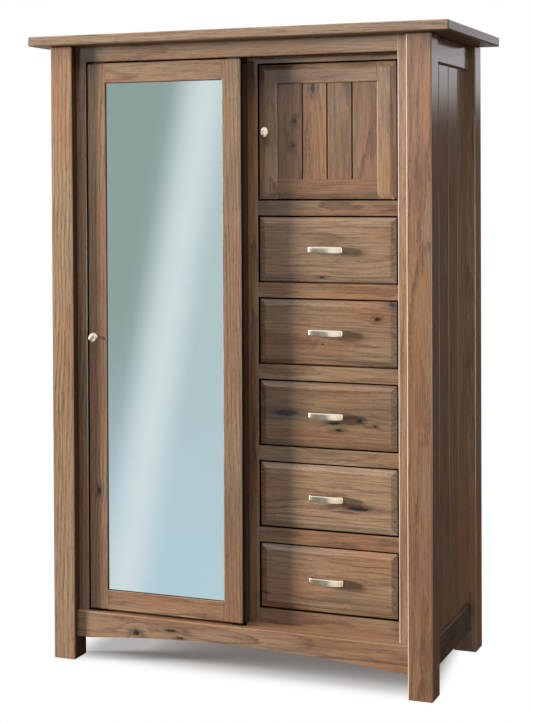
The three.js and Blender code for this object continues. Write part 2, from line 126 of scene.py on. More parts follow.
class Paint(Tree):
    """The nodes of a material or of the world."""

    def __init__(self, owner):
        owner.use_nodes = True
        super().__init__(owner.node_tree)

    def place(self):
        """Where the point lies on the object."""
        return self.split(self.node("ShaderNodeTexCoord", output="Object"))

    def ray(self, kind):
        return self.node("ShaderNodeLightPath", output=kind)

    def noise(self, point, detail=2.0, roughness=0.5):
        values = {"Vector": point, "Scale": 1.0, "Detail": detail, "Roughness": roughness}
        return self.node("ShaderNodeTexNoise", {}, values)

    def step(self, value, low, high):
        """Rises softly from 0 at low to 1 at high."""
        settings = {"interpolation_type": "SMOOTHSTEP"}
        return self.node("ShaderNodeMapRange", settings, {"Value": value, "From Min": low, "From Max": high})

    def fall(self, value, low, high):
        """Falls softly from 1 at low to 0 at high."""
        return 1.0 - self.step(value, low, high)

    def mix(self, factor, first, second, way="MIX"):
        settings = {"data_type": "RGBA", "blend_type": way}
        values = {MIX_FACTOR: factor, MIX_FIRST: first, MIX_SECOND: second}
        return self.node("ShaderNodeMix", settings, values, MIX_RESULT)

    def grey(self, value):
        return self.node("ShaderNodeCombineColor", {}, [value, value, value])

    def bump(self, height, strength, distance):
        return self.node("ShaderNodeBump", {}, {"Height": height, "Strength": strength, "Distance": distance})

    def surface(self, values):
        shader = self.node("ShaderNodeBsdfPrincipled", {}, values)
        self.finish(shader)

    def finish(self, shader, kind="ShaderNodeOutputMaterial"):
        end = self.tree.nodes.new(kind)
        self.tree.links.new(shader.socket, end.inputs["Surface"])


def new_paint(name):
    material = bpy.data.materials.new(name)
    return material, Paint(material)


# Stained oak: colours
GREY_OAK = srgb("a88a6b")
WARM_OAK = srgb("a87b59")
SMOKY_OAK = srgb("5e4a3d")
RING_OAK = srgb("5a4233")
PORE_OAK = srgb("3c2c24")
KNOT_OAK = srgb("17110e")
# The next colour is painted shade for gaps, recesses and corners, and also the pivot pins' own dark colour
SHADE_AND_PIN_OAK = srgb("1b100a")
# The next colour is a painted highlight along arrises
ARRIS_HIGHLIGHT_OAK = srgb("e6d6c8")

# Stained oak: noises, with their scales per metre along and across the grain
BEND = dict(along=1.7, across=9.0)
QUIVER = dict(along=9.0, across=60.0)
FIBRE = dict(along=11.0, across=380.0, detail=3.0, roughness=0.6)
PORES = dict(along=60.0, across=700.0, detail=1.0)
MOTTLE = dict(along=5.0, across=24.0, detail=3.0)
WARMTH = dict(along=2.2, across=10.0, shift=5.0)
CLOUDS = dict(along=2.4, across=12.0, shift=9.0)

# Stained oak: how a board lies in its log, in metres
RING_PITCH = 0.0105
LOG_LEAN = 0.015
LOG_BEND = 0.04
LOG_QUIVER = 0.008
PITH = (0.0, 0.07)
SEED_PITCH = 1.37
PLANK_SHIFT = 7.0
PLANK_SPREAD = 0.9

# Stained oak: knots, with distances in their own radii
KNOT_SCALE = 160.0
KNOT_RAGGED = 1.1
KNOT_PUSH, KNOT_PUSH_FALL = 2.2, 0.25
KNOT_CORE, KNOT_CORE_DEPTH = (0.3, 1.3), 0.85
KNOT_HALO, KNOT_HALO_DEPTH = (0.6, 4.0), 0.4

# Stained oak: where each part of the figure starts and ends, and how strongly it shows
RING_RISE, RING_END = (0.45, 0.9), (0.9, 1.0)
RING_MOTTLE, RING_LEAST, RING_MORE = (0.35, 0.7), 0.14, 0.5
WARM_RANGE = (0.36, 0.64)
CLOUD_FIBRE = 0.25
SMOKE_START, SMOKE_END, SMOKE_SPREAD, SMOKE_DEPTH = 0.6, 0.95, 0.3, 0.5
FIBRE_RANGE, FIBRE_DEPTH = (0.4, 0.68), 0.42
PORE_RANGE, PORE_LEAST, PORE_IN_RING = (0.55, 0.68), 0.25, 0.4
OAK_SHADE, MOTTLE_LIFT, FIBRE_DROP, PLANK_TONES = 1.06, 0.24, 0.26, 0.3
FIBRE_RELIEF, RING_RELIEF = 0.6, 0.3
# How softly the painted shade in gaps and recesses rises and fades, and how wide an arris's painted highlight
# or shade is
REVEAL_RISE, REVEAL_FADE = 0.0006, 0.001
ARRIS_RANGE = (0.002, 0.0035)
OAK_ROUGHNESS, FIBRE_ROUGHNESS = 0.5, 0.2


class Grain:
    """Where a point lies in its board: along the grain, across it and deep into it."""

    def __init__(self, paint, along, across, box, seed, pith, planks):
        place = paint.place()
        deep = X + Y + Z - along - across
        low, high = box
        self.paint = paint
        self.a, self.f, self.d = place[along], place[across], place[deep]
        self.seed = seed * SEED_PITCH
        self.chance = None
        if planks:
            start, pitch = planks
            index = ((self.f - start) / pitch).maths("FLOOR")
            by_plank = {"W": index + seed}
            self.chance = paint.node("ShaderNodeTexWhiteNoise", {"noise_dimensions": "1D"}, by_plank)
            self.board_a = self.a + self.chance * PLANK_SHIFT
            inside = self.f - (start + pitch / 2) - index * pitch
            self.board_f = inside + (self.chance - 0.5) * (pitch * PLANK_SPREAD)
        else:
            self.board_a = self.a + self.seed
            self.board_f = self.f - ((low[across] + high[across]) / 2 + pith[0])
        self.depth = self.d + (pith[1] - low[deep])

    def noise(self, along, across, shift=0.0, detail=2.0, roughness=0.5):
        """Noise with its own scale along and across the grain."""
        point = (self.board_a * along + shift, self.board_f * across + self.seed, self.d * across)
        return self.paint.noise(self.paint.vector(*point), detail, roughness)

    def from_pith(self):
        """Distance from the pith of the log, which wanders along the board."""
        bend = self.noise(**BEND) - 0.5
        quiver = self.noise(**QUIVER) - 0.5
        square = self.board_f * self.board_f + self.depth * self.depth
        return square.maths("SQRT") + self.board_a * LOG_LEAN + bend * LOG_BEND + quiver * LOG_QUIVER

    def round_knot(self, knot, number):
        """Distance from a knot's middle, in its own radii. A knot is (along, across, radius, stretch)."""
        place_a, place_f, size, stretch = knot
        da = (self.a - place_a) / (size * stretch)
        df = (self.f - place_f) / size
        point = (self.a * KNOT_SCALE + number, self.f * KNOT_SCALE, self.d * KNOT_SCALE)
        ragged = self.paint.noise(self.paint.vector(*point))
        square = da * da + df * df
        return square.maths("SQRT") + (ragged - 0.5) * KNOT_RAGGED


def oak(
    name, along, across, box, seed, tone=0.0, pith=PITH, planks=None, knots=(),
    reveals=(), arrises=(), coat=0.8, smoke=0.5, warmth=0.0,
):
    """Stained oak for one board, with the painted shade in its gaps and recesses, the dark of its pivot pins
    and the painted highlights and shade on its arrises that the functions below list.
    """
    material, paint = new_paint(name)
    grain = Grain(paint, along, across, box, seed, pith, planks)
    radius = grain.from_pith()
    knot_mask = None
    for number, knot in enumerate(knots):
        distance = grain.round_knot(knot, number)
        radius = radius + (KNOT_PUSH * knot[2]) / (1.0 + distance * distance * KNOT_PUSH_FALL)
        core = KNOT_CORE_DEPTH * paint.fall(distance, *KNOT_CORE)
        mask = core + KNOT_HALO_DEPTH * paint.fall(distance, *KNOT_HALO)
        knot_mask = mask if knot_mask is None else mask.maths("MAXIMUM", mask, knot_mask)
    phase = (radius / RING_PITCH).maths("FRACT")
    ring = paint.step(phase, *RING_RISE) * paint.fall(phase, *RING_END)
    fibre = grain.noise(**FIBRE)
    pores = paint.step(grain.noise(**PORES), *PORE_RANGE)
    mottle = grain.noise(**MOTTLE)
    warm = grain.noise(**WARMTH)
    cloud = grain.noise(**CLOUDS) + (fibre - 0.5) * CLOUD_FIBRE
    spread = SMOKE_SPREAD * smoke
    colour = paint.mix(paint.step(warm + warmth, *WARM_RANGE), GREY_OAK, WARM_OAK)
    smoky = paint.step(cloud, SMOKE_START - spread, SMOKE_END - spread)
    colour = paint.mix(smoky * SMOKE_DEPTH, colour, SMOKY_OAK)
    colour = paint.mix(ring * (RING_LEAST + RING_MORE * paint.step(mottle, *RING_MOTTLE)), colour, RING_OAK)
    colour = paint.mix(paint.step(fibre, *FIBRE_RANGE) * FIBRE_DEPTH, colour, RING_OAK)
    colour = paint.mix(pores * (PORE_LEAST + PORE_IN_RING * ring), colour, PORE_OAK)
    shade = OAK_SHADE + tone + MOTTLE_LIFT * mottle - FIBRE_DROP * fibre
    if grain.chance:
        shade = shade + (grain.chance - 0.5) * PLANK_TONES
    colour = paint.mix(1.0, colour, paint.grey(shade), "MULTIPLY")
    if knot_mask:
        colour = paint.mix(knot_mask, colour, KNOT_OAK)
    # Painted shade: faces inside gaps and grooves, recesses, the left leg's shaded side and the top's
    # underside are darkened and lose their coat; at the pivot pins the dark is the pins' own colour
    for axis, direction, start, reach, depth in reveals:
        behind = direction * (paint.place()[axis] - start)
        edge = paint.step(behind, 0.0, REVEAL_RISE) * paint.fall(behind, reach, reach + REVEAL_FADE)
        colour = paint.mix(edge * depth, colour, SHADE_AND_PIN_OAK)
        coat = coat * (1.0 - edge)
    # Painted highlights along arrises that catch the light, and painted shade at the top's corner
    for corner, as_highlight, depth in arrises:
        place = paint.place()
        near = paint.fall((place[X] - corner[X]).maths("ABSOLUTE"), *ARRIS_RANGE)
        near = near * paint.fall((place[Y] - corner[Y]).maths("ABSOLUTE"), *ARRIS_RANGE)
        colour = paint.mix(near * depth, colour, ARRIS_HIGHLIGHT_OAK if as_highlight else SHADE_AND_PIN_OAK)
    height = fibre * FIBRE_RELIEF - pores - ring * RING_RELIEF
    paint.surface({
        "Base Color": colour,
        "Roughness": OAK_ROUGHNESS + FIBRE_ROUGHNESS * fibre,
        "Specular IOR Level": 0.15,
        "Coat Weight": coat,
        "Coat Roughness": 0.12,
        "Normal": paint.bump(height, strength=0.22, distance=0.0004),
    })
    return material


# Other materials: noise scales per metre, along one axis and across it
BROAD_GRAIN = (1.5, 30.0)
FINE_GRAIN = (14.0, 520.0)
BRUSHING = (700.0, 25.0)
GLASS_HAZE = (1.0, 7.0)

# Other materials: colours, and how strongly the noises show
LIGHT_WOOD, DARK_WOOD, WOOD_FIBRE = srgb("c8ab84"), srgb("b4926a"), srgb("8f6f4c")
BROAD_RANGE = (0.35, 0.65)
FINE_RANGE, FINE_DEPTH = (0.5, 0.75), 0.35
WOOD_ROUGHNESS, FINE_ROUGHNESS = 0.55, 0.15
BRUSHED_DARK = 0.93
BRUSHED_LEAST, BRUSHED_MORE = 0.04, 0.08
GLASS_COLOURS = (srgb("eef3f2"), srgb("f6faf9"))
GLASS_ROUGHNESS, HAZE_ROUGHNESS = 0.008, 0.006


def stretched(place, axis, along, across):
    """A place with one scale along an axis and another across it."""
    return [place[i] * (along if i == axis else across) for i in (X, Y, Z)]


def pale_wood(name, along, seed):
    """Clear-finished secondary wood of the drawer boxes and the back."""
    material, paint = new_paint(name)
    place = paint.place()
    point = [value + seed for value in stretched(place, along, *BROAD_GRAIN)]
    broad = paint.noise(paint.vector(*point), detail=3.0)
    fine = paint.noise(paint.vector(*stretched(place, along, *FINE_GRAIN)))
    colour = paint.mix(paint.step(broad, *BROAD_RANGE), LIGHT_WOOD, DARK_WOOD)
    colour = paint.mix(paint.step(fine, *FINE_RANGE) * FINE_DEPTH, colour, WOOD_FIBRE)
    paint.surface({
        "Base Color": colour,
        "Roughness": WOOD_ROUGHNESS + FINE_ROUGHNESS * fine,
        "Normal": paint.bump(fine, strength=0.2, distance=0.0003),
    })
    return material


def satin_metal(name, colour, roughness, across):
    """Metal with fine brushing that runs across one axis."""
    material, paint = new_paint(name)
    brushed = paint.noise(paint.vector(*stretched(paint.place(), across, *BRUSHING)))
    light = srgb(colour)
    dark = tuple(c * BRUSHED_DARK for c in light[:3]) + (1.0,)
    paint.surface({
        "Base Color": paint.mix(brushed, dark, light),
        "Metallic": 1.0,
        "Roughness": roughness - BRUSHED_LEAST + BRUSHED_MORE * brushed,
        "Normal": paint.bump(brushed, strength=0.03, distance=0.00005),
    })
    return material


def silvered_glass():
    material, paint = new_paint("silvered_glass")
    haze = paint.noise(paint.vector(*stretched(paint.place(), Y, *GLASS_HAZE)))
    paint.surface({
        "Base Color": paint.mix(haze, *GLASS_COLOURS),
        "Metallic": 1.0,
        "Roughness": GLASS_ROUGHNESS + HAZE_ROUGHNESS * haze,
    })
    return material


# The boards: which way the grain runs, the tone and place in the log, and the knots of each
UPRIGHT = (Z, X)
LEVEL = (X, Z)
SIDE_UPRIGHT = (Z, Y)
SIDE_LEVEL = (Y, Z)
FLAT = (X, Y)

# Planks of a panel, as (first edge, pitch)
SIDE_PLANKS = (-0.195, 0.106)
CUPBOARD_PLANKS = (0.106, 0.07575)

boards = {
    "top_board": dict(grain=FLAT, seed=51, tone=-0.2, pith=(0.02, 0.2), smoke=0.4, warmth=-0.08),
    "leg_front_left": dict(grain=UPRIGHT, seed=2, tone=0.06, pith=(0.09, 0.05)),
    "leg_front_right": dict(grain=UPRIGHT, seed=3, tone=-0.1, pith=(0.02, 0.09), warmth=0.14),
    "leg_rear_left": dict(grain=UPRIGHT, seed=4),
    # Raised tone: painted light on the rear right leg's front face
    "leg_rear_right": dict(grain=UPRIGHT, seed=5, tone=0.3, warmth=-0.1),
    "side_top_rail_left": dict(grain=SIDE_LEVEL, seed=6),
    "side_top_rail_right": dict(grain=SIDE_LEVEL, seed=7),
    "side_bottom_rail_left": dict(grain=SIDE_LEVEL, seed=8),
    # Very low tone: painted shade on this rail, low on the shaded right side
    "side_bottom_rail_right": dict(grain=SIDE_LEVEL, seed=9, tone=-0.72, coat=0.1, warmth=-0.06),
    "side_panel_left": dict(grain=SIDE_UPRIGHT, seed=10, planks=SIDE_PLANKS),
    "side_panel_right": dict(grain=SIDE_UPRIGHT, seed=11, planks=SIDE_PLANKS),
    "bottom_board": dict(grain=FLAT, seed=12),
    "front_apron": dict(
        grain=LEVEL, seed=13, pith=(0.01, 0.06),
        knots=((-0.323, 0.099, 0.0075, 1.6), (-0.208, 0.117, 0.0045, 4.0), (-0.179, 0.098, 0.003, 4.0)),
    ),
    "face_stile_left": dict(grain=UPRIGHT, seed=14, pith=(0.06, 0.05)),
    "face_stile_right": dict(grain=UPRIGHT, seed=15, tone=0.1, pith=(0.05, 0.05), warmth=-0.08),
    "face_top_rail": dict(grain=LEVEL, seed=16, warmth=-0.1),
    "inner_stile_left": dict(grain=UPRIGHT, seed=17, tone=0.08),
    "inner_stile_right": dict(grain=UPRIGHT, seed=18),
    "inner_top_rail": dict(grain=LEVEL, seed=19),
    "rail_bottom": dict(grain=LEVEL, seed=20, tone=-0.15),
    "rail_4_5": dict(grain=LEVEL, seed=21),
    "rail_3_4": dict(grain=LEVEL, seed=22),
    "rail_2_3": dict(grain=LEVEL, seed=23, warmth=-0.1),
    "rail_1_2": dict(grain=LEVEL, seed=24),
    "cupboard_floor": dict(grain=LEVEL, seed=25, tone=-0.3),
    # Very low tone: painted shade in the dark slot beside the mirror door
    "partition": dict(grain=SIDE_UPRIGHT, seed=26, tone=-0.84, coat=0.1),
    "hat_shelf": dict(grain=FLAT, seed=27),
    # Raised tone: painted light over the shadow the left leg casts on this stile
    "mirror_stile_left": dict(
        grain=UPRIGHT, seed=28, tone=0.12, pith=(0.08, 0.05), knots=((0.512, -0.452, 0.0065, 1.8),),
    ),
    "mirror_stile_right": dict(grain=UPRIGHT, seed=29, tone=-0.12, pith=(-0.08, 0.05)),
    "mirror_rail_bottom": dict(grain=LEVEL, seed=30, tone=0.02),
    "mirror_rail_top": dict(grain=LEVEL, seed=31, tone=0.02),
    "cupboard_stile_left": dict(grain=UPRIGHT, seed=32, tone=0.12),
    "cupboard_stile_right": dict(grain=UPRIGHT, seed=33, tone=0.16, warmth=-0.08),
    "cupboard_rail_bottom": dict(grain=LEVEL, seed=34, tone=-0.22, warmth=0.08),
    "cupboard_rail_top": dict(grain=LEVEL, seed=35),
    "cupboard_panel": dict(
        grain=UPRIGHT, seed=36, tone=-0.17, planks=CUPBOARD_PLANKS, warmth=0.08,
        knots=((1.616, 0.158, 0.006, 1.4), (1.546, 0.152, 0.005, 1.5), (1.711, 0.214, 0.007, 2.0)),
    ),
    "drawer_front_1": dict(
        grain=LEVEL, seed=37, tone=-0.04, pith=(0.02, 0.08), warmth=-0.08,
        knots=((0.242, 1.165, 0.0028, 3.6),),
    ),
    "drawer_front_2": dict(
        grain=LEVEL, seed=38, tone=-0.1, pith=(-0.03, 0.06),
        knots=((0.452, 1.09, 0.0065, 1.6), (0.408, 1.048, 0.0065, 1.3), (0.243, 0.972, 0.002, 1.5)),
    ),
    "drawer_front_3": dict(
        grain=LEVEL, seed=39, tone=-0.15, pith=(0.04, 0.07),
        knots=(
            (0.126, 0.769, 0.0092, 5.0), (0.277, 0.745, 0.0045, 5.0), (0.291, 0.726, 0.004, 3.0),
            (0.356, 0.757, 0.0055, 1.3), (0.401, 0.741, 0.0035, 1.6),
        ),
    ),
    "drawer_front_4": dict(
        grain=LEVEL, seed=40, tone=0.18, pith=(0.0, 0.06), warmth=-0.08,
        knots=((0.349, 0.503, 0.006, 7.0),),
    ),
    "drawer_front_5": dict(
        grain=LEVEL, seed=41, tone=0.1, pith=(-0.02, 0.09),
        knots=((0.069, 0.237, 0.0025, 2.0),),
    ),
}

# How far behind its face the painted shade in a board's gaps and grooves starts, and how far it reaches
GAP_SHADES = {
    "drawer_front": (0.0042, 0.02),
    "cupboard_stile": (0.0042, 0.02),
    "cupboard_rail": (0.0042, 0.02),
    "cupboard_panel": (0.0008, 0.003),
    "side_panel": (0.0008, 0.003),
    "face_": (0.0016, 0.022),
    "inner_": (0.0012, 0.022),
    "rail_": (0.0012, 0.022),
    "cupboard_floor": (0.0012, 0.022),
    "mirror_": (0.0016, 0.022),
}
# The painted shade stops short of a board's back, which keeps its wood colour
BACK_MARGIN = 0.0025

# Painted shade on single boards, and the dark pivot pins of the right cupboard stile, as (start, reach,
# depth)
LEG_SIDE_SHADE = (0.0012, 0.02, 0.85)
TOP_UNDERSIDE_SHADE = (0.0005, 0.01, 0.35)
PIVOT_PIN = (0.0002, 0.05, 1.0)

# How strongly an arris gets a painted highlight or painted shade
LEG_ARRIS_HIGHLIGHTS = (0.55, 0.4)
STILE_ARRIS_HIGHLIGHT = 0.45
TOP_CORNER_SHADE = 0.6


def arris_light_and_shade(name):
    """Corners of a board given a painted highlight or painted shade, as ((x, y), highlight, depth)."""
    low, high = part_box(name)
    left, right = (low[X], low[Y]), (high[X], low[Y])
    if name == "leg_front_right":
        left_depth, right_depth = LEG_ARRIS_HIGHLIGHTS
        return [(left, True, left_depth), (right, True, right_depth)]
    if name == "face_stile_right":
        return [(left, True, STILE_ARRIS_HIGHLIGHT)]
    if name == "top_board":
        return [(right, False, TOP_CORNER_SHADE)]
    return []


def shade_and_pin_edges(name):
    """The painted shade on a board's gaps, grooves and shaded faces, and the dark of the cupboard stile's
    pivot pins, as (axis, direction, start, reach, depth).
    """
    low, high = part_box(name)
    edges = []
    if name == "leg_front_left":
        start, reach, depth = LEG_SIDE_SHADE
        edges.append((X, 1.0, high[X] - start, reach, depth))
    if name == "top_board":
        start, reach, depth = TOP_UNDERSIDE_SHADE
        edges.append((Z, -1.0, low[Z] + start, reach, depth))
    if name == "cupboard_stile_right":
        start, reach, depth = PIVOT_PIN
        below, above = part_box("cupboard_stile_left")
        edges += [(Z, -1.0, below[Z] - start, reach, depth), (Z, 1.0, above[Z] + start, reach, depth)]
    for group, (drop, reach) in GAP_SHADES.items():
        if not name.startswith(group):
            continue
        if name == "side_panel_right":
            edges.append((X, -1.0, high[X] - drop, reach, 1.0))
        else:
            axis = X if name == "side_panel_left" else Y
            reach = min(reach, high[axis] - low[axis] - drop - BACK_MARGIN)
            edges.append((axis, 1.0, low[axis] + drop, reach, 1.0))
    return edges


back_wood = pale_wood("pale_wood_back", along=Z, seed=0.0)
drawer_wood = pale_wood("pale_wood_drawer", along=Y, seed=3.0)
nickel = satin_metal("satin_nickel", "c0b5a2", roughness=0.2, across=Z)
aluminium = satin_metal("mill_aluminium", "c8cacc", roughness=0.4, across=Z)
zinc_steel = satin_metal("zinc_steel", "a9adb2", roughness=0.42, across=X)
blackened_steel = satin_metal("blackened_steel", "2a2725", roughness=0.5, across=X)
mirror_finish = silvered_glass()

LEG_EASE = 0.0028
BOARD_EASE = 0.001
WELD_DISTANCE = 0.00001
EASE_ANGLE = math.radians(20)


def dress(name, material):
    for slot in nodes[name].material_slots:
        slot.material = material


def ease(obj, width):
    """Rounds the arrises of a CAD node; its loose triangles are welded first."""
    weld = obj.modifiers.new("weld", "WELD")
    weld.merge_threshold = WELD_DISTANCE
    bevel = obj.modifiers.new("arrises", "BEVEL")
    bevel.width = width
    bevel.segments = 2
    bevel.limit_method = "ANGLE"
    bevel.angle_limit = EASE_ANGLE
    bevel.harden_normals = True


for name, look in boards.items():
    along, across = look.pop("grain")
    look.update(reveals=shade_and_pin_edges(name), arrises=arris_light_and_shade(name))
    dress(name, oak("oak_" + name, along, across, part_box(name), **look))

for number in DRAWERS:
    dress("drawer_box_%d" % number, drawer_wood)
dress("back_panel", back_wood)
dress("hanging_rod", nickel)
dress("door_track", aluminium)
for name in ("hanger_left", "hanger_right"):
    dress(name, zinc_steel)
dress("door_guide", blackened_steel)
dress("mirror_glass", mirror_finish)

for name in boards:
    ease(nodes[name], LEG_EASE if name.startswith("leg") else BOARD_EASE)


# New pieces
def add_object(name, data):
    obj = bpy.data.objects.new(name, data)
    bpy.context.collection.objects.link(obj)
    return obj


def from_bmesh(name, shape, material):
    """An object with one material from a finished shape, its faces turned outwards."""
    bmesh.ops.recalc_face_normals(shape, faces=shape.faces)
    mesh = bpy.data.meshes.new(name)
    shape.to_mesh(mesh)
    shape.free()
    mesh.materials.append(material)
    return add_object(name, mesh)


def belongs(piece, body, slot, *replaced):
    if replaced:
        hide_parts(*replaced)
    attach(piece, body)


def middle(name):
    """The middle of a CAD node's box."""
    low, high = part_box(name)
    return [(low[i] + high[i]) / 2 for i in (X, Y, Z)]


class Shape(Tree):
    """A Geometry Nodes tree with named sizes, which starts from a mesh of points and edges."""

    def __init__(self, name, sizes):
        super().__init__(bpy.data.node_groups.new(name, "GeometryNodeTree"))
        sockets = self.tree.interface
        sockets.new_socket("Geometry", in_out="INPUT", socket_type="NodeSocketGeometry")
        for size in sizes:
            sockets.new_socket(size, in_out="INPUT", socket_type="NodeSocketFloat")
        sockets.new_socket("Geometry", in_out="OUTPUT", socket_type="NodeSocketGeometry")
        start = self.tree.nodes.new("NodeGroupInput")
        self.given = {socket.name: Wire(self, socket) for socket in start.outputs if socket.name}

    def close(self, geometry, material):
        plain = self.node("GeometryNodeRealizeInstances", {}, {"Geometry": geometry})
        smooth = self.node("GeometryNodeSetShadeSmooth", {}, {"Geometry": plain})
        painted = self.node("GeometryNodeSetMaterial", {}, {"Geometry": smooth, "Material": material})
        end = self.tree.nodes.new("NodeGroupOutput")
        self.tree.links.new(painted.socket, end.inputs["Geometry"])

    def make(self, name, points, edges, sizes):
        """The tree's result as a plain mesh object."""
        mesh = bpy.data.meshes.new(name)
        mesh.from_pydata(points, edges, [])
        obj = add_object(name, mesh)
        modifier = obj.modifiers.new("shape", "NODES")
        modifier.node_group = self.tree
        for item in self.tree.interface.items_tree:
            if item.in_out == "INPUT" and item.name in sizes:
                modifier[item.identifier] = sizes[item.name]
        seen = obj.evaluated_get(bpy.context.evaluated_depsgraph_get())
        obj.data = bpy.data.meshes.new_from_object(seen)
        obj.modifiers.clear()
        obj.data.name = name
        return obj


# Drawer pulls: a crowned strap along a bow
PULL_X = 0.2575
PULL_FACE = -0.18
PULL_HALF = 0.0515
PULL_REACH = 0.0275
PULL_BOW = 0.007
PULL_CORNER = 0.0045
PULL_FOOT = 0.004
PULL_FOOT_RISE = 0.008
PULL_SINK = 0.001
FOOT_STEPS, CORNER_STEPS, BOW_STEPS, STRAP_SIDES = 8, 7, 32, 44
STRAP_FULLNESS = 0.52
PULL_SIZES = {"Strap Width": 0.020, "Strap Thickness": 0.005, "End Taper": 0.2}


def arc(start, control, end, count):
    """Points of a quadratic curve, without its first."""
    points = []
    for step in range(1, count + 1):
        t = step / count
        weights = ((1 - t) ** 2, 2 * t * (1 - t), t * t)
        points.append(tuple(sum(w * p[i] for w, p in zip(weights, (start, control, end))) for i in (X, Y)))
    return points


def bow_path():
    """The middle of the strap from its left foot to its right, as (x, reach)."""
    corner_x = PULL_HALF - PULL_CORNER
    corner_y = PULL_REACH - PULL_BOW
    lean = 2 * PULL_BOW * PULL_CORNER / corner_x
    side = (PULL_HALF, corner_y - PULL_CORNER)
    foot = (PULL_HALF - PULL_FOOT, -PULL_SINK)
    half = [foot] + arc(foot, (PULL_HALF, PULL_FOOT_RISE), side, FOOT_STEPS)
    half += arc(side, (PULL_HALF, corner_y - lean), (corner_x, corner_y), CORNER_STEPS)
    bow = arc((-corner_x, corner_y), (0.0, PULL_REACH + PULL_BOW), (corner_x, corner_y), BOW_STEPS)
    return [(-x, y) for x, y in half] + bow + half[-2::-1]


def full(part):
    """Squares up one side of a circle, so that the strap's faces are crowned and its edges rounded."""
    return part.maths("SIGN") * part.maths("ABSOLUTE") ** STRAP_FULLNESS


def pull_strap():
    strap = Shape("pull_strap", PULL_SIZES)
    path = strap.node("GeometryNodeMeshToCurve", {}, {"Mesh": strap.given["Geometry"]})
    path = strap.node("GeometryNodeSetCurveNormal", {"mode": "Z_UP"}, {"Curve": path})
    ring = strap.node("GeometryNodeCurvePrimitiveCircle", {}, {"Resolution": STRAP_SIDES, "Radius": 1.0})
    thick, tall = strap.split(strap.node("GeometryNodeInputPosition"), (X, Y))
    thick = full(thick) * strap.given["Strap Thickness"] * 0.5
    tall = full(tall) * strap.given["Strap Width"] * 0.5
    section = strap.vector(thick, tall, 0.0)
    ring = strap.node("GeometryNodeSetPosition", {}, {"Geometry": ring, "Position": section})
    way = strap.node("GeometryNodeSplineParameter") * 2.0 - 1.0
    slim = 1.0 - strap.given["End Taper"] * way * way
    swept = strap.node("GeometryNodeCurveToMesh", {}, {
        "Curve": path, "Profile Curve": ring, "Scale": slim, "Fill Caps": True,
    })
    strap.close(swept, nickel)
    return strap


strap = pull_strap()
line = bow_path()
for number in DRAWERS:
    height = middle("drawer_pull_%d" % number)[Z]
    points = [(PULL_X + x, PULL_FACE - y, height) for x, y in line]
    edges = [(i, i + 1) for i in range(len(points) - 1)]
    pull = strap.make("bow_pull_%d" % number, points, edges, PULL_SIZES)
    belongs(pull, "drawer_%d" % number, "nickel", "drawer_pull_%d" % number)

# Screws: a low round head with a square recess, its size as (radius, height)
SCREW_SIZES = ("Head Radius", "Head Height", "Turn X", "Turn Y")
RECESS_SHARE = 0.7
QUARTER_TURN = math.pi / 2

BACK_SCREW = (0.0042, 0.0022)
BACK_SCREW_INSET = 0.012
BACK_SCREW_PITCH = 0.15
PARTITION_MIDDLE = 0.0035

ROD_SCREW = (0.0033, 0.0018)
ROD_SCREW_INSET = 0.005
ROD_SCREW_CIRCLE = 0.019
ROD_SCREW_ANGLES = (90, 210, 330)

HANGER_SCREW = (0.0045, 0.0024)
HANGER_SCREW_INSET = 0.003
HANGER_SCREW_RISES = (0.014, 0.044)


def screw_heads():
    screw = Shape("screw_heads", SCREW_SIZES)
    radius, height = screw.given["Head Radius"], screw.given["Head Height"]
    size = screw.vector(radius, radius, height)
    dome = screw.node("GeometryNodeMeshUVSphere", {}, {"Segments": 16, "Rings": 8, "Radius": 1.0})
    dome = screw.node("GeometryNodeTransform", {}, {"Geometry": dome, "Scale": size})
    size = screw.vector(radius * RECESS_SHARE, radius * RECESS_SHARE, height)
    recess = screw.node("GeometryNodeMeshCube", {}, {"Size": size})
    lift = screw.vector(0.0, 0.0, height)
    recess = screw.node("GeometryNodeTransform", {}, {"Geometry": recess, "Translation": lift})
    cut = {"Mesh 1": dome, "Mesh 2": recess}
    head = screw.node("GeometryNodeMeshBoolean", {"operation": "DIFFERENCE"}, cut)
    turn = screw.vector(screw.given["Turn X"], screw.given["Turn Y"], 0.0)
    heads = screw.node("GeometryNodeInstanceOnPoints", {}, {
        "Points": screw.given["Geometry"], "Instance": head, "Rotation": turn,
    })
    screw.close(heads, zinc_steel)
    return screw


screw = screw_heads()


def row(first, last, pitch):
    """Even steps from first to last, near the pitch."""
    count = max(1, round((last - first) / pitch))
    return [first + (last - first) * i / count for i in range(count + 1)]


def inner_sides(name, inset):
    """Left, right, bottom and top of a CAD node's box, moved inwards."""
    low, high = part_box(name)
    return low[X] + inset, high[X] - inset, low[Z] + inset, high[Z] - inset


def fix_screws(name, body, points, size, turn_x, turn_y):
    sizes = dict(zip(SCREW_SIZES, (*size, turn_x, turn_y)))
    belongs(screw.make(name, points, [], sizes), body, "hanger_steel")


left, right, bottom, top = inner_sides("back_panel", BACK_SCREW_INSET)
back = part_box("back_panel")[1][Y]
points = [(x, back, z) for x in row(left, right, BACK_SCREW_PITCH) for z in (bottom, top)]
rows = row(bottom, top, BACK_SCREW_PITCH)[1:-1]
points += [(x, back, z) for z in rows for x in (left, PARTITION_MIDDLE, right)]
fix_screws("back_screws", "case", points, BACK_SCREW, -QUARTER_TURN, 0.0)

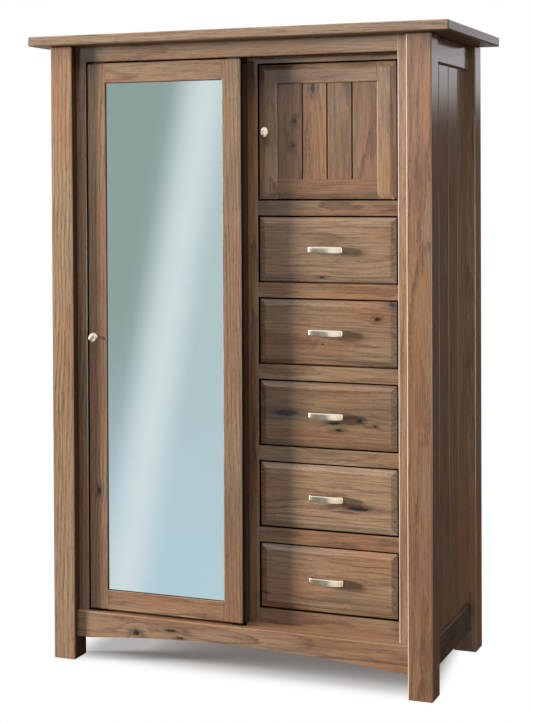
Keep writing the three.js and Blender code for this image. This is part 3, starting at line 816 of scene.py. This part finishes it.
low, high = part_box("hanging_rod")
rod_y, rod_z = middle("hanging_rod")[Y:]
angles = [math.radians(angle) for angle in ROD_SCREW_ANGLES]
circle = [(ROD_SCREW_CIRCLE * math.cos(angle), ROD_SCREW_CIRCLE * math.sin(angle)) for angle in angles]
for name, x, turn_y in (
    ("left", low[X] + ROD_SCREW_INSET, QUARTER_TURN), ("right", high[X] - ROD_SCREW_INSET, -QUARTER_TURN),
):
    points = [(x, rod_y + y, rod_z + z) for y, z in circle]
    fix_screws("rod_screws_" + name, "case", points, ROD_SCREW, 0.0, turn_y)

points = []
for name in ("hanger_left", "hanger_right"):
    low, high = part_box(name)
    face = low[Y] + HANGER_SCREW_INSET
    points += [(middle(name)[X], face, low[Z] + rise) for rise in HANGER_SCREW_RISES]
fix_screws("hanger_screws", "mirror_door", points, HANGER_SCREW, -QUARTER_TURN, 0.0)

# Mirror backing: a thin board behind the glass, held by stops
BACKING_THICK = 0.003
BACKING_SLACK = 0.001
BACKING_GAP = 0.0001
BACKING_EASE = 0.0005
STOP_WIDTH = 0.008
STOP_SETBACK = 0.0003
STOP_EASE = 0.0012


def soft_block(shape, low, high, ease_by):
    made = bmesh.ops.create_cube(shape, size=1.0)["verts"]
    for vert in made:
        vert.co = Vector(low[i] if vert.co[i] < 0 else high[i] for i in (X, Y, Z))
    edges = list({edge for vert in made for edge in vert.link_edges})
    bmesh.ops.bevel(shape, geom=edges, offset=ease_by, segments=2, profile=0.6, affect="EDGES")


def behind_mirror(name, blocks, ease_by):
    shape = bmesh.new()
    for low, high in blocks:
        soft_block(shape, low, high, ease_by)
    belongs(from_bmesh(name, shape, drawer_wood), "mirror_door", "drawer_wood")


left, right, bottom, top = inner_sides("mirror_glass", BACKING_SLACK)
behind_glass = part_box("mirror_glass")[1][Y] + BACKING_GAP
behind_board = behind_glass + BACKING_THICK
frame_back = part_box("mirror_stile_left")[1][Y] - STOP_SETBACK
behind_mirror("mirror_backing", [((left, behind_glass, bottom), (right, behind_board, top))], BACKING_EASE)
inner_left, inner_right = left + STOP_WIDTH, right - STOP_WIDTH
behind_mirror("mirror_stops", [
    ((left, behind_board, bottom), (inner_left, frame_back, top)),
    ((inner_right, behind_board, bottom), (right, frame_back, top)),
    ((inner_left, behind_board, bottom), (inner_right, frame_back, bottom + STOP_WIDTH)),
    ((inner_left, behind_board, top - STOP_WIDTH), (inner_right, frame_back, top)),
], STOP_EASE)

# Oval knobs: a turned foot and neck that swell into an oval head, as (radius, reach) in mm
KNOB_FACE = 23.5
KNOB_PROFILE = (
    (5.6, -0.5), (5.6, 1.0), (5.4, 1.4), (5.0, 1.7), (4.5, 2.6), (4.1, 4.2), (4.0, 6.5), (4.0, 10.0),
    (4.4, 12.0), (5.6, 13.7), (7.4, 14.8), (10.0, 15.5), (12.6, 16.5), (14.6, 17.9), (15.6, 19.3),
    (15.875, 20.6), (15.8, 21.6), (15.45, 22.5), (14.9, 23.15), (14.3, 23.4),
    (13.6, KNOB_FACE), (12.6, KNOB_FACE), (11.2, KNOB_FACE), (9.4, KNOB_FACE),
    (7.4, KNOB_FACE), (5.0, KNOB_FACE), (2.4, KNOB_FACE),
)
KNOB_OVAL = 24.0 / 31.75
KNOB_CROWN = 2.5
KNOB_RIM = 14.3
KNOB_RIM_POWER = 6
KNOB_HEAD_START = 12.0
KNOB_HEAD_BLEND = 4.0
KNOB_FULLNESS = 0.2
KNOB_SIDES = 56
MIRROR_KNOB_TURN = math.radians(40)
MM = 1 / 1000


def crown(radius, x):
    """How far the face of the head swells: arched across its short way, level along its length."""
    rim = max(0.0, 1.0 - (radius / KNOB_RIM) ** KNOB_RIM_POWER)
    return KNOB_CROWN * (1.0 - (x / (KNOB_RIM * KNOB_OVAL)) ** 2) * rim


def fuller(value, power):
    return math.copysign(abs(value) ** power, value)


def turned_knob(name, body, replaced, turn):
    x, y, z = middle(replaced)
    foot = Vector((x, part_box(replaced)[1][Y], z))
    shape = bmesh.new()
    rings = []
    for radius, reach in KNOB_PROFILE:
        head = min(1.0, max(0.0, (reach - KNOB_HEAD_START) / KNOB_HEAD_BLEND))
        narrow = 1.0 + (KNOB_OVAL - 1.0) * head * head * (3.0 - 2.0 * head)
        power = 1.0 - KNOB_FULLNESS * head
        ring = []
        for step in range(KNOB_SIDES):
            angle = 2 * math.pi * step / KNOB_SIDES
            x = radius * narrow * fuller(math.cos(angle), power)
            z = radius * fuller(math.sin(angle), power)
            swell = crown(radius, x) if reach == KNOB_FACE else 0.0
            across = x * math.cos(turn) + z * math.sin(turn)
            upward = z * math.cos(turn) - x * math.sin(turn)
            ring.append(shape.verts.new(foot + Vector((across, -reach - swell, upward)) * MM))
        rings.append(ring)
    for first, second in zip(rings, rings[1:]):
        for step in range(KNOB_SIDES):
            after = (step + 1) % KNOB_SIDES
            shape.faces.new((first[step], first[after], second[after], second[step]))
    for ring, reach in ((rings[0], KNOB_PROFILE[0][1]), (rings[-1], KNOB_FACE + KNOB_CROWN)):
        pole = shape.verts.new(foot + Vector((0, -reach, 0)) * MM)
        for step in range(KNOB_SIDES):
            shape.faces.new((ring[step], ring[(step + 1) % KNOB_SIDES], pole))
    knob = from_bmesh(name, shape, nickel)
    knob.data.shade_smooth()
    belongs(knob, body, "nickel", replaced)


turned_knob("mirror_door_knob", "mirror_door", "mirror_knob", MIRROR_KNOB_TURN)
turned_knob("cupboard_door_knob", "cupboard_door", "cupboard_knob", 0.0)

# Studio: pale floor, one large soft light from the left, a soft light from above
WHITE = (1.0, 1.0, 1.0, 1.0)
FLOOR_HALF = 60
FLOOR_SHADE, FLOOR_SEEN_SHADE = 0.12, 0.48
FLOOR_LIFT, FLOOR_LIFT_COLOUR = 0.16, srgb("f4ede9")
SHADOW_FRONT, SHADOW_BACK = (0.12, 0.31), (0.2, 0.34)
SHADOW_RIGHT, SHADOW_LEFT = (0.505, 0.585), (0.5, 0.62)
SHADOW_SLANT = 0.12


def stage_floor():
    mesh = bpy.data.meshes.new("floor")
    corners = [(x * FLOOR_HALF, y * FLOOR_HALF, 0) for x, y in ((-1, -1), (1, -1), (1, 1), (-1, 1))]
    mesh.from_pydata(corners, [], [(0, 1, 2, 3)])
    floor = add_object("floor", mesh)
    material, paint = new_paint("pale_floor")
    camera_ray = paint.ray("Is Camera Ray")
    colour = paint.grey(FLOOR_SHADE + FLOOR_SEEN_SHADE * camera_ray)
    diffuse = paint.node("ShaderNodeBsdfDiffuse", {}, {"Color": colour})
    lift = {"Color": FLOOR_LIFT_COLOUR, "Strength": camera_ray * FLOOR_LIFT}
    shadowed = paint.node("ShaderNodeAddShader", {}, [diffuse, paint.node("ShaderNodeEmission", {}, lift)])
    # The shadow lies under the carcase and fades into the white floor round it
    x, y, z = paint.place()
    inside = paint.fall(-y, *SHADOW_FRONT)
    inside = inside * paint.fall(x + SHADOW_SLANT * y, *SHADOW_RIGHT)
    inside = inside * paint.fall(-x, *SHADOW_LEFT)
    inside = inside * paint.fall(y, *SHADOW_BACK)
    white = paint.node("ShaderNodeEmission", {}, {"Color": WHITE, "Strength": 1.0})
    faded = camera_ray * (1.0 - inside)
    paint.finish(paint.node("ShaderNodeMixShader", {}, [faded, shadowed, white]))
    mesh.materials.append(material)
    floor.visible_glossy = False


def soft_light(name, place, target, size, power):
    lamp = bpy.data.lights.new(name, "AREA")
    lamp.shape = "RECTANGLE"
    lamp.size, lamp.size_y = size
    lamp.energy = power
    obj = add_object(name, lamp)
    obj.visible_glossy = False
    turn = (Vector(target) - Vector(place)).to_track_quat("-Z", "Y").to_matrix().to_4x4()
    obj.matrix_world = Matrix.Translation(Vector(place)) @ turn


# The room that the mirror shows: a streak of light that leans over the door's face
EYE_X, EYE_Z, EYE_REACH = 1.740, 1.441, 4.19
STREAK_X, STREAK_Z, STREAK_LEAN = -0.119, 1.567, 0.19
STREAK_RISE, STREAK_FALL, STREAK_DEPTH = (-0.13, 0.0), (0.0, 0.11), 0.9
ROOM_SIDES = (-0.16, 0.02)
ROOM_LOW, ROOM_LOW_DEPTH = (0.25, 1.1), 0.8
LEFT_ROOM, RIGHT_ROOM, LOW_ROOM, STREAK = [srgb(text) for text in ("94a5a3", "bacbce", "bcd4e1", "dde5e8")]

# The room that the satin wood and metal show, by how far sideways and how high it lies
LEAST_REACH = 0.05
FRONT_RANGE = (0.0, 0.2)
BESIDE_RIGHT, BESIDE_LEFT, BESIDE_ROOM = (-0.41, -0.34), (-0.565, -0.53), srgb("a9a399")
EYE_GLOW, EYE_GLOW_DIM, EYE_GLOW_DROP = (-0.3, -0.06), (0.0, 0.5), 0.6
EYE_GLOW_LOW, EYE_GLOW_LEAST, EYE_GLOW_COLOUR = (-0.25, -0.05), 0.6, (2.2, 2.16, 2.08, 1.0)
GLOW_TOP = (0.2, 0.4)
RIGHT_GLOW, RIGHT_GLOW_FOOT, RIGHT_GLOW_COLOUR = (0.9, 1.8), (-0.25, -0.1), (6.5, 6.3, 6.0, 1.0)
SOFTBOX, SOFTBOX_FOOT, SOFTBOX_COLOUR = (-1.7, -1.2), (-0.3, -0.1), (5.0, 5.0, 4.9, 1.0)
OVERHEAD_LEFT, OVERHEAD_DROP = (0.6, 0.72), 0.75
HAZE, HAZE_COLOUR = (-0.06, 0.0), (0.95, 1.0, 1.05, 1.0)
CEILING_EDGE, CEILING_LOWER, CEILING_BLEND = 0.073, 0.063, 0.05
CEILING_HIGH = (0.2, 0.45)
NEAR_CEILING, HIGH_CEILING = (2.0, 2.0, 2.04, 1.0), (1.4, 1.4, 1.44, 1.0)

# The room behind the part, on its right side and on its left
RIGHT_UPPER, RIGHT_UPPER_COLOURS = (0.078, 0.09), (HIGH_CEILING, (0.75, 0.76, 0.8, 1.0))
RIGHT_LOWER, RIGHT_LOWER_COLOUR = (0.035, 0.07), srgb("3a3632")
BACK_SIDES, BACK_LEFT_COLOUR = (-0.3, 0.1), srgb("fbfbff")

# Light from all round on the wood
AMBIENT_RIGHT, AMBIENT_COLOURS = (0.0, 0.9), ((0.05, 0.05, 0.052, 1.0), (0.24, 0.185, 0.14, 1.0))
AMBIENT_BACK, AMBIENT_BACK_COLOUR = (0.6, 0.95), (0.9, 0.88, 0.84, 1.0)


def mirror_room(paint, sideways, slope):
    door_x = EYE_X + EYE_REACH * sideways
    door_z = EYE_Z + EYE_REACH * slope
    off = door_x - (STREAK_X - (STREAK_Z - door_z) * STREAK_LEAN)
    room = paint.mix(paint.step(off, *ROOM_SIDES), LEFT_ROOM, RIGHT_ROOM)
    room = paint.mix(paint.fall(door_z, *ROOM_LOW) * ROOM_LOW_DEPTH, room, LOW_ROOM)
    streak = paint.step(off, *STREAK_RISE) * paint.fall(off, *STREAK_FALL)
    return paint.mix(streak * STREAK_DEPTH, room, STREAK)


def front_room(paint, sideways, slope, z):
    room = mirror_room(paint, sideways, slope)
    beside_door = paint.step(sideways, *BESIDE_RIGHT) + 1.0 - paint.step(sideways, *BESIDE_LEFT)
    room = paint.mix(beside_door, room, BESIDE_ROOM)
    glow = paint.step(sideways, *EYE_GLOW) * (1.0 - EYE_GLOW_DROP * paint.step(sideways, *EYE_GLOW_DIM))
    glow = glow * (EYE_GLOW_LEAST + (1.0 - EYE_GLOW_LEAST) * paint.step(z, *EYE_GLOW_LOW))
    room = paint.mix(glow, room, EYE_GLOW_COLOUR)
    glow = paint.step(sideways, *RIGHT_GLOW) * paint.fall(z, *GLOW_TOP) * paint.step(z, *RIGHT_GLOW_FOOT)
    room = paint.mix(glow, room, RIGHT_GLOW_COLOUR)
    overhead = beside_door * (1.0 - OVERHEAD_DROP * paint.step(-sideways, *OVERHEAD_LEFT))
    room = paint.mix(overhead * paint.step(slope, *HAZE), room, HAZE_COLOUR)
    edge = CEILING_EDGE - CEILING_LOWER * overhead
    ceiling = paint.mix(paint.step(slope, *CEILING_HIGH), NEAR_CEILING, HIGH_CEILING)
    room = paint.mix(paint.step(slope, edge, edge + CEILING_BLEND), room, ceiling)
    softbox = paint.fall(sideways, *SOFTBOX) * paint.fall(z, *GLOW_TOP) * paint.step(z, *SOFTBOX_FOOT)
    return paint.mix(softbox, room, SOFTBOX_COLOUR)


def studio_world():
    world = bpy.data.worlds.new("studio")
    bpy.context.scene.world = world
    paint = Paint(world)
    x, y, z = paint.split(paint.node("ShaderNodeTexCoord", output="Generated"))
    reach = y.maths("MAXIMUM", -y, LEAST_REACH)
    room = front_room(paint, x / reach, z / reach, z)
    right = paint.mix(paint.step(z, *RIGHT_UPPER), *RIGHT_UPPER_COLOURS)
    right = paint.mix(paint.step(z, *RIGHT_LOWER), RIGHT_LOWER_COLOUR, right)
    back = paint.mix(paint.step(x, *BACK_SIDES), BACK_LEFT_COLOUR, right)
    glossy = paint.mix(paint.step(-y, *FRONT_RANGE), back, room)
    ambient = paint.mix(paint.step(x, *AMBIENT_RIGHT), *AMBIENT_COLOURS)
    ambient = paint.mix(paint.step(y, *AMBIENT_BACK), ambient, AMBIENT_BACK_COLOUR)
    lit = paint.mix(paint.ray("Is Glossy Ray"), ambient, glossy)
    colour = paint.mix(paint.ray("Is Camera Ray"), lit, WHITE)
    background = paint.node("ShaderNodeBackground", {}, {"Color": colour, "Strength": 1.0})
    paint.finish(background, "ShaderNodeOutputWorld")


# Camera: its place, the way it looks, and its lens in pixels of the picture's height
CAMERA_PLACE = (1.74027, -4.41915, 1.44142)
CAMERA_YAW, CAMERA_PITCH, CAMERA_ROLL = 0.375, -0.0156, -0.0046
LENS_PIXELS, HEIGHT_PIXELS, AXIS_ROW = 1561.16, 723, 206.0
SENSOR_WIDTH = 36.0
CLIP_END = 200.0


def photo_camera():
    yaw, pitch, roll = CAMERA_YAW, CAMERA_PITCH, CAMERA_ROLL
    forward = Vector((-math.sin(yaw) * math.cos(pitch), math.cos(yaw) * math.cos(pitch), math.sin(pitch)))
    level = Vector((math.cos(yaw), math.sin(yaw), 0.0))
    upright = level.cross(forward)
    right = math.cos(roll) * level + math.sin(roll) * upright
    up = math.cos(roll) * upright - math.sin(roll) * level
    camera = bpy.data.cameras.new("camera")
    camera.sensor_width = SENSOR_WIDTH
    camera.lens = LENS_PIXELS / HEIGHT_PIXELS * SENSOR_WIDTH
    camera.shift_y = -(HEIGHT_PIXELS / 2 - AXIS_ROW) / HEIGHT_PIXELS
    camera.clip_end = CLIP_END
    obj = add_object("camera", camera)
    turn = Matrix((right, up, -forward)).transposed().to_4x4()
    obj.matrix_world = Matrix.Translation(Vector(CAMERA_PLACE)) @ turn
    bpy.context.scene.camera = obj


photo_camera()
stage_floor()
soft_light(
    "left_softbox", place=(-13.2, -4.9, 2.9), target=(0.0, -0.2, 1.1), size=(2.3, 2.6), power=4150.0,
)
soft_light(
    "top_softbox", place=(0.0, -1.3, 4.2), target=(0.0, -0.2, 1.2), size=(3.2, 2.4), power=90.0,
)
studio_world()
bpy.context.scene.view_settings.view_transform = "Standard"
